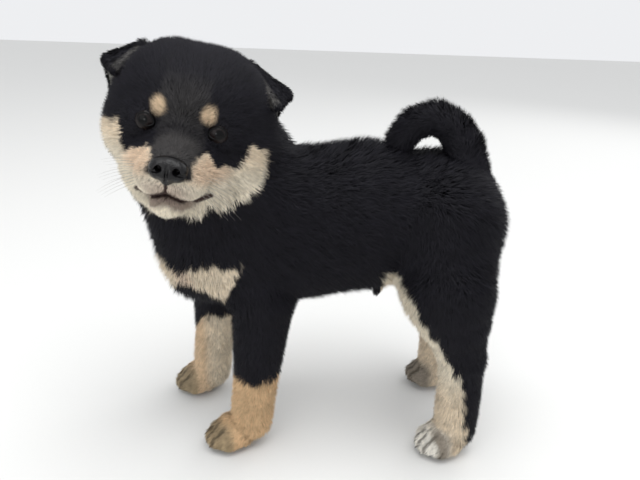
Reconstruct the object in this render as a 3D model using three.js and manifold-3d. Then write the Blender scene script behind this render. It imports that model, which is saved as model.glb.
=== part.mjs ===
// Shiba inu puppy, standing, with its head turned to its left.
// Millimetres, +Z up. The dog faces -Y and its left side is towards +X.
import * as THREE from 'three';
import { mergeVertices } from 'three/addons/utils/BufferGeometryUtils.js';
import Module from 'manifold-3d';

const wasm = await Module();
wasm.setup();

// Sizes that drive the rest
const joinGap = 0.3;
const eyeRadius = 8.3;
const eyeDetail = 2;
const eyeSpacing = 39.4;
const soleHeight = 0;
const eyesMiddle = [50, -82, 222.5];
const headTurn = { yaw: 4.9, pitch: 6.4, roll: -10.4 };
// The row's origin is on the floor under the middle of the whole dog
const originOnFloor = [12, -7.2, 0];

// Small vector helpers
const plus = (a, b) => [a[0] + b[0], a[1] + b[1], a[2] + b[2]];
const minus = (a, b) => [a[0] - b[0], a[1] - b[1], a[2] - b[2]];
const times = (a, s) => [a[0] * s, a[1] * s, a[2] * s];
const dot = (a, b) => a[0] * b[0] + a[1] * b[1] + a[2] * b[2];
const size = (a) => Math.hypot(a[0], a[1], a[2]);
const unit = (a) => times(a, 1 / size(a));
const cross = (a, b) => [
  a[1] * b[2] - a[2] * b[1],
  a[2] * b[0] - a[0] * b[2],
  a[0] * b[1] - a[1] * b[0],
];
const clamp = (x, low, high) => Math.min(Math.max(x, low), high);

// The head's own directions: ahead, to its left, and up
function headDirections({ yaw, pitch, roll }) {
  const [y, p, r] = [yaw, pitch, roll].map(THREE.MathUtils.degToRad);
  const ahead = [Math.cos(p) * Math.cos(y), Math.cos(p) * Math.sin(y), Math.sin(p)];
  const level = [-Math.sin(y), Math.cos(y), 0];
  const above = cross(ahead, level);
  const left = plus(times(level, Math.cos(r)), times(above, Math.sin(r)));
  const up = minus(times(above, Math.cos(r)), times(level, Math.sin(r)));
  return [ahead, left, up];
}
const headAxes = headDirections(headTurn);
const worldAxes = [[1, 0, 0], [0, 1, 0], [0, 0, 1]];

// A place on the head, measured from the middle of the eyes
function onHead(ahead, left, up) {
  const along = plus(times(headAxes[0], ahead), times(headAxes[1], left));
  return plus(eyesMiddle, plus(along, times(headAxes[2], up)));
}

// The body is a smooth union of masses, each with a signed distance
const masses = [];

function addMass(low, high, blend, distance) {
  const reach = blend + 12;
  masses.push({
    low: minus(low, [reach, reach, reach]),
    high: plus(high, [reach, reach, reach]),
    blend,
    distance,
  });
}

function coneDistance(p, a, b, ra, rb) {
  const ab = minus(b, a);
  const length = size(ab);
  const ap = minus(p, a);
  const along = dot(ap, ab) / length;
  const away = Math.sqrt(Math.max(dot(ap, ap) - along * along, 0));
  const slope = (ra - rb) / length;
  const t = clamp((along + away * slope / Math.sqrt(1 - slope * slope)) / length, 0, 1);
  return size(minus(ap, times(ab, t))) - (ra + (rb - ra) * t);
}

// A row of round cones, end to end, from points and radii
function chain(points, radii, blend) {
  const most = Math.max(...radii);
  const low = [0, 1, 2].map((i) => Math.min(...points.map((p) => p[i])) - most);
  const high = [0, 1, 2].map((i) => Math.max(...points.map((p) => p[i])) + most);
  addMass(low, high, blend, (p) => {
    let nearest = Infinity;
    for (let i = 0; i + 1 < points.length; i += 1) {
      const here = coneDistance(p, points[i], points[i + 1], radii[i], radii[i + 1]);
      nearest = Math.min(nearest, here);
    }
    return nearest;
  });
}

// A round cone made narrower in one direction across it
function barrel(a, b, ra, rb, blend, across, narrow) {
  const along = unit(minus(b, a));
  const side = unit(minus(across, times(along, dot(across, along))));
  const most = Math.max(ra, rb);
  const low = [0, 1, 2].map((i) => Math.min(a[i], b[i]) - most);
  const high = [0, 1, 2].map((i) => Math.max(a[i], b[i]) + most);
  addMass(low, high, blend, (p) => {
    const off = dot(minus(p, a), side);
    const widened = plus(p, times(side, off * (1 / narrow - 1)));
    return coneDistance(widened, a, b, ra, rb) * Math.sqrt(narrow);
  });
}

function ball(centre, radii, blend, axes = worldAxes) {
  const most = Math.max(...radii);
  const reach = [most, most, most];
  addMass(minus(centre, reach), plus(centre, reach), blend, (p) => {
    const q = axes.map((axis) => dot(minus(p, centre), axis));
    const near = Math.hypot(q[0] / radii[0], q[1] / radii[1], q[2] / radii[2]);
    const steep = Math.hypot(q[0] / radii[0] ** 2, q[1] / radii[1] ** 2, q[2] / radii[2] ** 2);
    return near * (near - 1) / Math.max(steep, 1e-9);
  });
}

// A rounded triangular sheet
function sheet(a, b, c, halfThickness, blend) {
  const corners = [a, b, c];
  const edges = [minus(b, a), minus(c, b), minus(a, c)];
  const normal = cross(edges[0], minus(c, a));
  const low = [0, 1, 2].map((i) => Math.min(a[i], b[i], c[i]) - halfThickness);
  const high = [0, 1, 2].map((i) => Math.max(a[i], b[i], c[i]) + halfThickness);
  addMass(low, high, blend, (p) => {
    let insideEdges = 0;
    let nearestEdge = Infinity;
    for (let i = 0; i < 3; i += 1) {
      const from = minus(p, corners[i]);
      if (dot(from, cross(normal, edges[i])) >= 0) insideEdges += 1;
      const t = clamp(dot(from, edges[i]) / dot(edges[i], edges[i]), 0, 1);
      nearestEdge = Math.min(nearestEdge, size(minus(from, times(edges[i], t))));
    }
    const toPlane = Math.abs(dot(minus(p, a), unit(normal)));
    return (insideEdges === 3 ? toPlane : nearestEdge) - halfThickness;
  });
}

// Trunk, with the coat on it
const foreSide = [0.9, 0.43, 0];
barrel([3, -36, 154], [-3, 24, 159], 51, 45, 10, [1, 0.1, 0], 0.84);
barrel([-3, 24, 161.5], [-4, 74, 159.5], 42, 40, 16, [1, 0, 0], 0.92);
ball([-4, 76.5, 156], [43, 33.5, 46], 14);
chain([[1, -18, 145.5], [-3, 60, 147.5]], [44, 30], 14);
barrel([6, -42, 148], [15, -72, 140], 45, 32, 14, foreSide, 0.94);
ball([17, -80.5, 124], [21, 18.5, 18], 14);
// Neck, throat and nape
chain([[6, -52, 166], [18, -80, 204]], [42, 42], 14);
chain([[20, -76, 150], [31.5, -89.5, 190.5]], [31, 28], 14);
ball([0, -53, 201.5], [28, 25.5, 27], 14);

// Forelegs from shoulder to foot
const forelegRadii = [25, 20, 16.5, 14.2, 14];
chain([[26, -60, 142], [35, -38.5, 108], [37, -40.5, 78], [35, -43, 50], [32, -46, 18]], forelegRadii, 16);
chain([[-14, -72, 140], [-27, -77, 107], [-30, -78.5, 78], [-32, -81, 50], [-32, -84, 18]], forelegRadii, 16);

// Hind legs: thigh, then shank and foot
const thighRadii = [34.5, 27];
const shankRadii = [26, 21, 16, 14, 14.3];
chain([[15, 77, 150], [34, 78.5, 122]], thighRadii, 20);
chain([[35, 80.5, 122], [37, 86, 100], [37, 92.5, 75], [35.5, 94, 58], [33.5, 94, 18]], shankRadii, 16);
chain([[-24, 77, 150], [-38, 78.5, 122]], thighRadii, 20);
chain([[-39, 80.5, 122], [-45, 86, 100], [-50, 92.5, 75], [-52, 94.5, 58], [-52, 94.5, 18]], shankRadii, 16);
// Small tuft under the belly
chain([[-2, 40, 112], [-2, 38, 104], [-2, 36, 98]], [5.5, 3.6, 1.8], 6);

// Paws: a pad with four toes, each ending in a claw
const toeRows = [[-0.34, 0.18], [-0.12, 0.31], [0.12, 0.31], [0.34, 0.18]];
const toeRadius = 6.8;
const paws = {
  fore_left: { centre: [34.5, -57.5, 0], ahead: unit([0.5, -0.866, 0]), length: 40, width: 25 },
  fore_right: { centre: [-33, -93, 0], ahead: unit([0.43, -0.9, 0]), length: 38, width: 26 },
  hind_left: { centre: [34.5, 86.5, 0], ahead: unit([0.4, -0.917, 0]), length: 38, width: 25 },
  hind_right: { centre: [-53, 91, 0], ahead: unit([0.1, -0.995, 0]), length: 38, width: 26 },
};

function leftOf(ahead) {
  return [-ahead[1], ahead[0], 0];
}

function toeTip(paw, row) {
  const [sideways, reach] = row;
  const forward = times(paw.ahead, paw.length * reach);
  return plus(plus(paw.centre, forward), plus(times(leftOf(paw.ahead), paw.width * sideways), [0, 0, 7.4]));
}

for (const paw of Object.values(paws)) {
  const left = leftOf(paw.ahead);
  const middle = plus(minus(paw.centre, times(paw.ahead, 2)), [0, 0, 11]);
  ball(middle, [paw.length * 0.42, paw.width * 0.45, 12.5], 6, [paw.ahead, left, [0, 0, 1]]);
  for (const row of toeRows) {
    const tip = toeTip(paw, row);
    const towardsHeel = times(paw.ahead, -paw.length * 0.22);
    const towardsMiddle = times(left, -paw.width * row[0] * 0.2);
    const knuckle = plus(plus(tip, towardsHeel), plus(towardsMiddle, [0, 0, 2.1]));
    chain([knuckle, tip], [7.6, toeRadius], 3);
  }
}

// Tail, curled over the back
const tailLine = [
  [-2, 88.5, 176], [-2, 88.5, 192], [-2, 86.5, 206], [-2, 80, 216.5], [-2, 68.5, 223.5], [-3, 55, 219], [-4, 47.5, 208],
];
chain(tailLine, [16, 15.6, 13.9, 12.4, 11.6, 11.3, 10.4], 4);

// Skull, cheeks and jowls
const sides = { left: 1, right: -1 };
for (const s of Object.values(sides)) {
  ball(onHead(-31, 13 * s + 2, 9), [39, 36, 38], 10, headAxes);
}
ball(onHead(-16, 0, 13), [22, 31, 25], 10, headAxes);
for (const s of Object.values(sides)) {
  ball(onHead(-25, 26.5 * s + 1.5, -7.5), [27, 22, 23], 9, headAxes);
  ball(onHead(-10, 16.5 * s, -26), [21, 16, 16], 9, headAxes);
}
// Muzzle, lips and lower jaw
chain([onHead(-4, 0, -17), onHead(25, 0, -22.5)], [19.5, 12.8], 8);
for (const s of Object.values(sides)) {
  ball(onHead(-2, 13 * s, -24), [17, 12, 12.5], 7, headAxes);
  ball(onHead(18, 8.5 * s, -26), [15, 11, 11], 6, headAxes);
}
chain([onHead(-8, 0, -36), onHead(16, 0, -38.5)], [14, 10.5], 6);
ball(onHead(-18, 0, -31), [28, 26, 19], 9, headAxes);

// Ears: a raised base whose top folds forwards
const ears = {
  left: {
    baseInner: [-34, 30, 34], baseOuter: [-36, 46, 12],
    foldInner: [-28, 29, 40], foldOuter: [-27, 53, 28.5], tip: [-14, 49, 21.5],
  },
  right: {
    baseInner: [-34, -32, 34], baseOuter: [-36, -45, 10],
    foldInner: [-28, -32, 39], foldOuter: [-27, -50, 27.5], tip: [-14, -43.5, 23],
  },
};
for (const ear of Object.values(ears)) {
  const at = {};
  for (const [name, place] of Object.entries(ear)) at[name] = onHead(...place);
  sheet(at.baseInner, at.baseOuter, at.foldOuter, 3.6, 5);
  sheet(at.baseInner, at.foldInner, at.foldOuter, 3.6, 3);
  sheet(at.foldInner, at.foldOuter, at.tip, 2.8, 2.5);
}

const eyeCentres = {};
for (const [side, s] of Object.entries(sides)) {
  eyeCentres[side] = onHead(-1.5, s * eyeSpacing / 2, 0.3);
}

function blended(a, b, blend) {
  const h = clamp(0.5 + 0.5 * (a - b) / blend, 0, 1);
  return a * (1 - h) + b * h - blend * h * (1 - h);
}

// Signed distance to the whole dog, negative inside
function field(p) {
  let value = 40;
  for (const mass of masses) {
    const near = p.every((x, i) => x > mass.low[i] && x < mass.high[i]);
    if (!near) continue;
    const here = mass.distance(p);
    value = blended(value, here, mass.blend);
  }
  return value;
}

// Closed mesh of the dog that fills a box and ends a cell outside it, for the cuts to trim.
// A net that pinches itself is made again with other cells
function meshInside(low, high, cell) {
  const spare = [cell, cell, cell];
  for (const change of [1, 0.97, 1.03, 0.94, 1.06]) {
    const net = netInside(minus(low, spare), plus(high, spare), cell * change);
    try {
      return toSolid(net.positions, net.triangles);
    } catch (fault) {
      if (change === 1.06) throw fault;
    }
  }
  return null;
}

// Net of near-square cells over the surface
function netInside(low, high, cell) {
  const count = [0, 1, 2].map((i) => Math.ceil((high[i] - low[i]) / cell) + 3);
  const start = low.map((x) => x - cell);
  const boxed = (p) => {
    const toBox = Math.max(...p.map((x, i) => Math.max(low[i] - x, x - high[i])));
    return Math.max(field(p), toBox);
  };
  const index = (i, j, k) => (i * count[1] + j) * count[2] + k;
  const values = new Float64Array(count[0] * count[1] * count[2]);
  const place = (i, j, k) => [start[0] + i * cell, start[1] + j * cell, start[2] + k * cell];
  for (let i = 0; i < count[0]; i += 1) {
    for (let j = 0; j < count[1]; j += 1) {
      for (let k = 0; k < count[2]; k += 1) values[index(i, j, k)] = boxed(place(i, j, k));
    }
  }
  // One vertex in each cell that the surface crosses
  const vertexOf = new Map();
  const vertices = [];
  const corners = [];
  for (let n = 0; n < 8; n += 1) corners.push([n & 1, (n >> 1) & 1, (n >> 2) & 1]);
  const cellEdges = [];
  for (let m = 0; m < 8; m += 1) {
    for (let n = m + 1; n < 8; n += 1) {
      if (size(minus(corners[m], corners[n])) === 1) cellEdges.push([corners[m], corners[n]]);
    }
  }
  for (let i = 0; i + 1 < count[0]; i += 1) {
    for (let j = 0; j + 1 < count[1]; j += 1) {
      for (let k = 0; k + 1 < count[2]; k += 1) {
        let sum = [0, 0, 0];
        let crossings = 0;
        for (const [a, b] of cellEdges) {
          const va = values[index(i + a[0], j + a[1], k + a[2])];
          const vb = values[index(i + b[0], j + b[1], k + b[2])];
          if ((va < 0) === (vb < 0)) continue;
          const pa = place(i + a[0], j + a[1], k + a[2]);
          const pb = place(i + b[0], j + b[1], k + b[2]);
          sum = plus(sum, plus(pa, times(minus(pb, pa), va / (va - vb))));
          crossings += 1;
        }
        if (crossings > 0) {
          vertexOf.set(index(i, j, k), vertices.length);
          vertices.push(ontoSurface(boxed, times(sum, 1 / crossings), cell));
        }
      }
    }
  }
  // Two triangles round each grid edge that the surface crosses
  const triangles = [];
  const range = [0, 1, 2];
  for (const axis of range) {
    const b = (axis + 1) % 3;
    const c = (axis + 2) % 3;
    const at = [0, 0, 0];
    for (at[0] = 1; at[0] + 1 < count[0]; at[0] += 1) {
      for (at[1] = 1; at[1] + 1 < count[1]; at[1] += 1) {
        for (at[2] = 1; at[2] + 1 < count[2]; at[2] += 1) {
          const next = [...at];
          next[axis] += 1;
          const inside = values[index(...at)] < 0;
          if (inside === values[index(...next)] < 0) continue;
          const ring = [[-1, -1], [0, -1], [0, 0], [-1, 0]].map(([ob, oc]) => {
            const owner = [...at];
            owner[b] += ob;
            owner[c] += oc;
            return vertexOf.get(index(...owner));
          });
          if (!inside) ring.reverse();
          triangles.push(ring[0], ring[1], ring[2], ring[0], ring[2], ring[3]);
        }
      }
    }
  }
  return { positions: vertices.flat(), triangles };
}

// Moves a point along the slope of a distance until it lies on the surface
function ontoSurface(distance, point, cell) {
  const probe = 0.2;
  let p = point;
  for (let pass = 0; pass < 3; pass += 1) {
    const here = distance(p);
    const slope = worldAxes.map((axis) => {
      const step = times(axis, probe);
      return (distance(plus(p, step)) - distance(minus(p, step))) / (2 * probe);
    });
    const steepness = Math.max(dot(slope, slope), 0.25);
    const move = times(slope, -here / steepness);
    p = plus(p, times(move, Math.min(1, 0.25 * cell / Math.max(size(move), 1e-6))));
  }
  return p;
}

function toSolid(positions, triangles) {
  const mesh = new wasm.Mesh({
    numProp: 3,
    vertProperties: Float32Array.from(positions),
    triVerts: Uint32Array.from(triangles),
  });
  mesh.merge();
  return new wasm.Manifold(mesh);
}

function solidOf(geometry) {
  const bare = new THREE.BufferGeometry();
  bare.setAttribute('position', geometry.getAttribute('position'));
  if (geometry.index) bare.setIndex(geometry.index);
  const merged = mergeVertices(bare, 1e-4);
  return toSolid([...merged.getAttribute('position').array], [...merged.index.array]);
}

function blockBetween(low, high) {
  const geometry = new THREE.BoxGeometry(high[0] - low[0], high[1] - low[1], high[2] - low[2]);
  geometry.translate((low[0] + high[0]) / 2, (low[1] + high[1]) / 2, (low[2] + high[2]) / 2);
  return solidOf(geometry);
}

// Everything beyond a plane, as a large block
function beyond(point, normal) {
  const far = 700;
  const geometry = new THREE.BoxGeometry(far, far, far);
  geometry.translate(0, 0, far / 2);
  const turn = new THREE.Quaternion().setFromUnitVectors(
    new THREE.Vector3(0, 0, 1),
    new THREE.Vector3(...unit(normal)),
  );
  geometry.applyQuaternion(turn);
  geometry.translate(...point);
  return solidOf(geometry);
}

// Keeps the side of a plane that its normal points away from, half a gap short of it
function keepBehind(solid, point, normal) {
  const short = times(unit(normal), -joinGap / 2);
  return solid.subtract(beyond(plus(point, short), normal));
}
const keepAhead = (solid, point, normal) => keepBehind(solid, point, times(normal, -1));

function cutBox(solid, low, high) {
  const half = [joinGap / 2, joinGap / 2, joinGap / 2];
  return solid.subtract(blockBetween(minus(low, half), plus(high, half)));
}

function keepBox(solid, low, high) {
  const half = [joinGap / 2, joinGap / 2, joinGap / 2];
  return solid.intersect(blockBetween(plus(low, half), minus(high, half)));
}

// The largest of the separate bodies left by a cut
function mainBody(solid) {
  return solid.decompose().reduce((a, b) => (a.volume() > b.volume() ? a : b));
}

// Materials
const materials = {
  coat_black: { colour: 0x26252a, roughness: 0.85 },
  coat_tan: { colour: 0xb59c73, roughness: 0.85 },
  coat_cream: { colour: 0xd8d2bd, roughness: 0.85 },
  nose_leather: { colour: 0x2c2a2c, roughness: 0.45 },
  eye_dark: { colour: 0x1d1512, roughness: 0.08 },
  claw_horn: { colour: 0x4a423b, roughness: 0.5 },
};
for (const [name, look] of Object.entries(materials)) {
  materials[name] = new THREE.MeshStandardMaterial({
    name, color: look.colour, roughness: look.roughness, metalness: 0,
  });
}

const dog = new THREE.Group();
dog.name = 'shiba_inu';

function addNode(name, solid, material) {
  const mesh = mainBody(solid).getMesh();
  const positions = [];
  for (let v = 0; v < mesh.numVert; v += 1) {
    for (let i = 0; i < 3; i += 1) {
      positions.push(mesh.vertProperties[v * mesh.numProp + i] - originOnFloor[i]);
    }
  }
  const geometry = new THREE.BufferGeometry();
  geometry.setAttribute('position', new THREE.Float32BufferAttribute(positions, 3));
  geometry.setIndex([...mesh.triVerts]);
  geometry.computeVertexNormals();
  const node = new THREE.Mesh(geometry, materials[material]);
  node.name = name;
  dog.add(node);
}

// Where the body is divided
const headJoin = { point: [30, -84, 172], normal: [0.5, -0.3, 0.81] };
const neckJoin = { point: [14, -70, 170], normal: [0.2, -0.62, 0.76] };
const chestEnd = 0;
const barrelEnd = 46;
const legTop = { fore: 99, hind: 126 };
const pawTop = 22;
const wristHeight = 48;
const hockHeight = 60;
const shankTop = 98;
const tailFoot = 205;

const cells = { trunk: 14.5, leg: 12.6, head: 9.2, muzzle: 6.8, ear: 4.6, paw: 7.6, tail: 8.8 };
const across = [0, 1, 0];
const upwards = [0, 0, 1];

// Chest, barrel and rump
let chest = meshInside([-60, -125, legTop.fore], [75, chestEnd, 222], cells.trunk);
chest = keepBehind(chest, [0, chestEnd, 0], across);
chest = keepBehind(chest, neckJoin.point, neckJoin.normal);
chest = keepBehind(chest, headJoin.point, headJoin.normal);
chest = keepAhead(chest, [0, 0, legTop.fore], upwards);
addNode('chest', chest, 'coat_black');

let middle = meshInside([-60, chestEnd, 85], [60, barrelEnd, tailFoot], cells.trunk);
middle = keepBehind(keepAhead(middle, [0, chestEnd, 0], across), [0, barrelEnd, 0], across);
middle = keepBehind(middle, [0, 0, tailFoot], upwards);
addNode('barrel', middle, 'coat_black');

const thighBox = {
  left: { low: [2, barrelEnd - 20, -20], high: [90, 140, legTop.hind] },
  right: { low: [-90, barrelEnd - 20, -20], high: [-10, 140, legTop.hind] },
};
let rump = meshInside([-75, barrelEnd, 100], [75, 130, tailFoot], cells.trunk);
rump = keepAhead(rump, [0, barrelEnd, 0], across);
rump = keepBehind(rump, [0, 0, tailFoot], upwards);
for (const box of Object.values(thighBox)) rump = cutBox(rump, box.low, box.high);
addNode('rump', rump, 'coat_black');

// Neck
let neck = meshInside([-55, -135, 120], [85, 0, 250], cells.trunk * 0.9);
neck = keepAhead(neck, neckJoin.point, neckJoin.normal);
neck = keepBehind(neck, headJoin.point, headJoin.normal);
addNode('neck', keepBehind(neck, [0, chestEnd, 0], across), 'coat_black');

// Head, cut into skull, muzzle, lower jaw and ears
const earMargin = 4;
const earPlanes = {};
for (const [side, s] of Object.entries(sides)) {
  const normal = plus(times(headAxes[1], 0.84 * s), times(headAxes[2], 0.54));
  earPlanes[side] = { point: onHead(-31, 44 * s + 1.5, 27), normal };
}
const mouthHeight = -36.5;
const muzzleRoot = onHead(7, 0, 0);
const jawRoot = onHead(2, 0, 0);
const mouthPoint = onHead(0, 0, mouthHeight);
const [headAhead, , headUp] = headAxes;

// A socket holds the eyeball and opens between the lids
function socketed(solid) {
  let open = solid;
  for (const centre of Object.values(eyeCentres)) {
    const lids = plus(centre, times(headAxes[0], 10));
    open = open.subtract(eyeball(centre, eyeRadius + joinGap * 1.3));
    open = open.subtract(ovalOnHead(lids, [8, 7.2, 5.8], 10, 7));
  }
  return open;
}

function eyeball(centre, radius) {
  const geometry = new THREE.IcosahedronGeometry(radius, eyeDetail);
  geometry.translate(...centre);
  return solidOf(geometry);
}

function ovalOnHead(centre, radii, round, tall) {
  const geometry = new THREE.SphereGeometry(1, round, tall);
  geometry.scale(...radii);
  const turn = new THREE.Matrix4().makeBasis(...headAxes.map((axis) => new THREE.Vector3(...axis)));
  geometry.applyMatrix4(turn);
  geometry.translate(...centre);
  return solidOf(geometry);
}

// Nose leather: a rounded pad, wider than tall, with two nostrils
function nosePad(grown) {
  return ovalOnHead(onHead(34.5, 0, -19.5), [6.5 + grown, 9.8 + grown, 6.9 + grown], 14, 9);
}

function nostril(s) {
  const geometry = new THREE.SphereGeometry(2, 6, 4);
  geometry.translate(...onHead(41, 4.9 * s, -21));
  return solidOf(geometry);
}

const headLow = [-45, -150, 150];
const headHigh = [100, -15, 290];
const headOnly = (solid) => keepAhead(solid, headJoin.point, headJoin.normal);
let skull = headOnly(meshInside(headLow, headHigh, cells.head));
const front = headOnly(meshInside([45, -130, 150], headHigh, cells.muzzle));
let muzzle = keepAhead(keepAhead(front, muzzleRoot, headAhead), mouthPoint, headUp);
let jaw = keepBehind(keepAhead(front, jawRoot, headAhead), mouthPoint, headUp);
const muzzleBlock = beyond(minus(muzzleRoot, times(headAhead, joinGap / 2)), headAhead);
const jawBlock = beyond(minus(jawRoot, times(headAhead, joinGap / 2)), headAhead);
const underMouth = beyond(plus(mouthPoint, times(headUp, joinGap / 2)), times(headUp, -1));
skull = skull.subtract(muzzleBlock).subtract(jawBlock.intersect(underMouth));
for (const plane of Object.values(earPlanes)) skull = keepBehind(skull, plane.point, plane.normal);
muzzle = muzzle.subtract(nosePad(joinGap * 1.2));
jaw = jaw.subtract(nosePad(joinGap * 1.2));
addNode('skull', socketed(skull), 'coat_black');
addNode('muzzle', socketed(muzzle), 'coat_tan');
addNode('lower_jaw', jaw, 'coat_cream');
addNode('nose', nosePad(0).subtract(nostril(1)).subtract(nostril(-1)), 'nose_leather');
for (const [side, centre] of Object.entries(eyeCentres)) {
  addNode('eye_' + side, eyeball(centre, eyeRadius), 'eye_dark');
}
for (const [side, plane] of Object.entries(earPlanes)) {
  const corners = Object.values(ears[side]).map((place) => onHead(...place));
  const low = [0, 1, 2].map((i) => Math.min(...corners.map((p) => p[i])) - earMargin);
  const high = [0, 1, 2].map((i) => Math.max(...corners.map((p) => p[i])) + earMargin);
  const ear = meshInside(low, high, cells.ear);
  addNode('ear_' + side, keepAhead(ear, plane.point, plane.normal), 'coat_black');
}

// Tail in three lengths
const tailCuts = { base: 79, tip: 62 };
let tail = meshInside([-20, 34, tailFoot], [16, 112, 240], cells.tail);
tail = keepAhead(tail, [0, 0, tailFoot], upwards);
addNode('tail_base', keepAhead(tail, [0, tailCuts.base, 0], across), 'coat_black');
const tailMiddle = keepBehind(keepAhead(tail, [0, tailCuts.tip, 0], across), [0, tailCuts.base, 0], across);
addNode('tail_middle', tailMiddle, 'coat_black');
addNode('tail_tip', keepBehind(tail, [0, tailCuts.tip, 0], across), 'coat_black');

// Claws: short bent horns at the ends of the toes
function claw(paw, row, grown) {
  const rootRadius = 1.5 + grown;
  const tip = toeTip(paw, row);
  const start = plus(plus(tip, times(paw.ahead, toeRadius - 4)), [0, 0, -1.4]);
  const middleOfClaw = plus(start, plus(times(paw.ahead, 3.4), [0, 0, -0.6]));
  const end = plus(start, plus(times(paw.ahead, 5.2 + grown), [0, 0, -2.2 - grown * 0.3]));
  const rings = [[start, rootRadius], [middleOfClaw, rootRadius * 0.82]];
  const round = 6;
  const positions = [];
  const left = leftOf(paw.ahead);
  for (const [centre, radius] of rings) {
    for (let i = 0; i < round; i += 1) {
      const angle = 2 * Math.PI * i / round;
      const aside = times(left, radius * 0.8 * Math.cos(angle));
      positions.push(plus(centre, plus(aside, [0, 0, radius * Math.sin(angle)])));
    }
  }
  positions.push(minus(start, times(paw.ahead, grown)), end);
  const [back, point] = [positions.length - 2, positions.length - 1];
  const triangles = [];
  for (let i = 0; i < round; i += 1) {
    const next = (i + 1) % round;
    triangles.push(i, next, round + next, i, round + next, round + i);
    triangles.push(round + i, round + next, point, next, i, back);
  }
  return toSolid(positions.flat(), triangles);
}

// Legs and paws
function addLeg(name, parts, pawName, floorBox, pawCoat) {
  const paw = paws[pawName];
  for (const part of parts) {
    const low = [floorBox.low[0], floorBox.low[1], part.from];
    const high = [floorBox.high[0], floorBox.high[1], part.to];
    const shape = meshInside(low, high, cells.leg);
    addNode(part.name + '_' + name, keepBox(shape, low, high), part.coat);
  }
  const pawLow = [floorBox.low[0], floorBox.low[1], soleHeight];
  const pawHigh = [floorBox.high[0], floorBox.high[1], pawTop];
  let foot = meshInside(pawLow, pawHigh, cells.paw);
  foot = foot.subtract(beyond([0, 0, soleHeight], [0, 0, -1]));
  foot = keepBehind(foot, [0, 0, pawTop], upwards);
  toeRows.forEach((row, i) => {
    foot = foot.subtract(claw(paw, row, joinGap));
    addNode('claw_' + pawName + '_' + (i + 1), claw(paw, row, 0), 'claw_horn');
  });
  addNode('paw_' + pawName, foot, pawCoat);
}

const forelegParts = [
  { name: 'forearm', from: wristHeight, to: legTop.fore, coat: 'coat_black' },
  { name: 'pastern', from: pawTop, to: wristHeight, coat: 'coat_tan' },
];
addLeg('left', forelegParts, 'fore_left', { low: [5, -95, 0], high: [75, -10, 0] }, 'coat_tan');
addLeg('right', forelegParts, 'fore_right', { low: [-65, -125, 0], high: [0, -50, 0] }, 'coat_tan');

const hindlegParts = [
  { name: 'thigh', from: shankTop, to: legTop.hind, coat: 'coat_black' },
  { name: 'shank', from: hockHeight, to: shankTop, coat: 'coat_black' },
  { name: 'hock', from: pawTop, to: hockHeight, coat: 'coat_tan' },
];
addLeg('left', hindlegParts, 'hind_left', { low: [2, barrelEnd, 0], high: [80, 130, 0] }, 'coat_cream');
addLeg('right', hindlegParts, 'hind_right', { low: [-85, barrelEnd, 0], high: [-10, 130, 0] }, 'coat_cream');

export default dog;
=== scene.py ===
import math
import bpy
import numpy as np
from mathutils import Matrix
from mathutils.kdtree import KDTree


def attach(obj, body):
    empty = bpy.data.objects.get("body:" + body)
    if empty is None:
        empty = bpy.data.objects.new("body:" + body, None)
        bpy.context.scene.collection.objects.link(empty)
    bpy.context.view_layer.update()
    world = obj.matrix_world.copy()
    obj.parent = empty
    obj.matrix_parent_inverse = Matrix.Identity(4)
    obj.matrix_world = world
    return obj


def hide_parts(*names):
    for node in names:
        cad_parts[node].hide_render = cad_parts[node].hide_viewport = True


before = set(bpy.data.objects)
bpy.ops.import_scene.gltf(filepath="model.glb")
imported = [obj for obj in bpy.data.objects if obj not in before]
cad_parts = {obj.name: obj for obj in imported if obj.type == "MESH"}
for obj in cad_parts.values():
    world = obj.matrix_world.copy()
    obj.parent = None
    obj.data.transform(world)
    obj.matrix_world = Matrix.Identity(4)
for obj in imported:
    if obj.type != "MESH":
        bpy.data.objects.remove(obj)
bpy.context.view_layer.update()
random = np.random.default_rng(7)

# Sizes that drive the rest. Shapes are in millimetres on the dog's own axes,
# then moved by the origin and scaled to metres
MM = 0.001
ORIGIN = np.array((12.0, -7.2, 0.0))
EYES_MIDDLE = np.array((50.0, -82.0, 222.5))
# Yaw, pitch and roll of the head, in degrees
HEAD_TURN = (4.9, 6.4, -10.4)
EYE_RADIUS = 8.3
EYE_SIDE = 19.7
SOLE_LEVEL = 0.3
BARE_SOLE_LEVEL = 0.9
SKIN_STEP = 1.5
NOSE_STEP = 0.5
# The skin lies this share of the coat's depth inside the outline, and tufts reach past it
SKIN_SHARE = 0.74
TUFT_REACH = 1.27
TUFTS_IN_ALL = 440000
TUFTS_PER_LOCK = 18
LOCK_GATHER = 0.13
ROOT_DEPTH = 0.25
# The camera, in metres: its place, the way it looks, its right side, its lens and its sensor
CAMERA_PLACE = (0.401, 0.0042, 0.290)
CAMERA_AHEAD = (-0.9397, 0, -0.3420)
CAMERA_RIGHT = (-0.0119, 0.9994, 0.0328)
CAMERA_LENS = 36.56
CAMERA_SENSOR = 36


def unit(v):
    v = np.asarray(v, float)
    return v / np.linalg.norm(v)


def lengths(v):
    return np.linalg.norm(v, axis=1)


def rows_unit(v):
    return v / np.maximum(lengths(v), 1e-9)[:, None]


def head_directions(yaw, pitch, roll):
    y, p, r = (math.radians(a) for a in (yaw, pitch, roll))
    ahead = np.array((math.cos(p) * math.cos(y), math.cos(p) * math.sin(y), math.sin(p)))
    level = np.array((-math.sin(y), math.cos(y), 0.0))
    above = np.cross(ahead, level)
    left = level * math.cos(r) + above * math.sin(r)
    up = above * math.cos(r) - level * math.sin(r)
    return np.array((ahead, left, up))


HEAD = head_directions(*HEAD_TURN)


def on_head(ahead, left, up):
    return EYES_MIDDLE + ahead * HEAD[0] + left * HEAD[1] + up * HEAD[2]


def head_places(points):
    return (points - EYES_MIDDLE) @ HEAD.T


# The body is a smooth union of masses. Each knows its coat's depth and the way its coat lies
masses = []


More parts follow.
